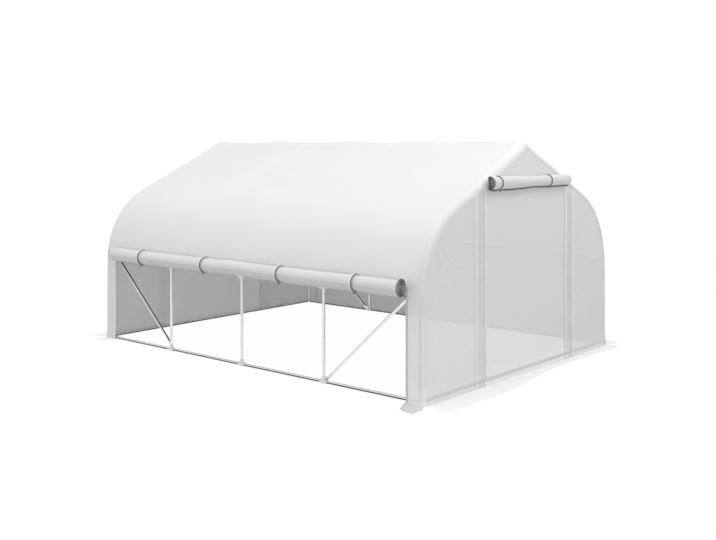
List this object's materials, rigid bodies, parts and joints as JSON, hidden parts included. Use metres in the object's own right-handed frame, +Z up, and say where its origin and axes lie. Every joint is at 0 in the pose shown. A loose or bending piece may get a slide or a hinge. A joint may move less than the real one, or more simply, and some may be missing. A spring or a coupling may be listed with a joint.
{
  "type": "polytunnel greenhouse",
  "caption": "Walk-in polytunnel greenhouse: steel tube hoops under a white sheet cover, with one long side rolled up and a screened door in each gable.",
  "frame": {"origin": "on the ground, under the middle of the tunnel", "axes": "+X along the ridge, +Y from the open side to the closed side, +Z up"},
  "size_m": [4.5476, 3.5076, 2.0075],
  "materials": {
    "galvanised_tube": "zinc coated",
    "fitting": "dull zinc",
    "cover_sheet": "satin, lets light through",
    "screen_mesh": "fine woven mesh",
    "webbing": "woven tape"
  },
  "bodies": {
    "root": {"back_base_fittings": "fitting", "back_base_rail": "galvanised_tube", "back_braces": "galvanised_tube", "back_curtain": "cover_sheet", "back_curtain_bar": "galvanised_tube", "back_rail_fittings": "fitting", "back_roof_sheet": "cover_sheet", "back_side_rail": "galvanised_tube", "back_wall_strips": "cover_sheet", "corner_skirts": "cover_sheet", "front_base_fittings": "fitting", "front_base_rail": "galvanised_tube", "front_braces": "galvanised_tube", "front_curtain_bar": "galvanised_tube", "front_curtain_head": "cover_sheet", "front_curtain_straps": "webbing", "front_rail_fittings": "fitting", "front_rolled_curtain": "cover_sheet", "front_roof_sheet": "cover_sheet", "front_side_rail": "galvanised_tube", "front_wall_strips": "cover_sheet", "left_base_rail": "galvanised_tube", "left_door_bands": "cover_sheet", "left_door_panel": "cover_sheet", "left_door_screen": "screen_mesh", "left_end_hoop": "galvanised_tube", "left_gable_back_panel": "cover_sheet", "left_gable_front_panel": "cover_sheet", "left_gable_skirt": "cover_sheet", "left_gable_top_panel": "cover_sheet", "left_inner_hoop": "galvanised_tube", "middle_hoop": "galvanised_tube", "ridge_fittings": "fitting", "ridge_purlin": "galvanised_tube", "right_base_rail": "galvanised_tube", "right_door_bands": "cover_sheet", "right_door_roll": "cover_sheet", "right_door_screen": "screen_mesh", "right_door_straps": "webbing", "right_end_hoop": "galvanised_tube", "right_gable_back_panel": "cover_sheet", "right_gable_front_panel": "cover_sheet", "right_gable_skirt": "cover_sheet", "right_gable_top_panel": "cover_sheet", "right_inner_hoop": "galvanised_tube"}
  },
  "joints": []
}
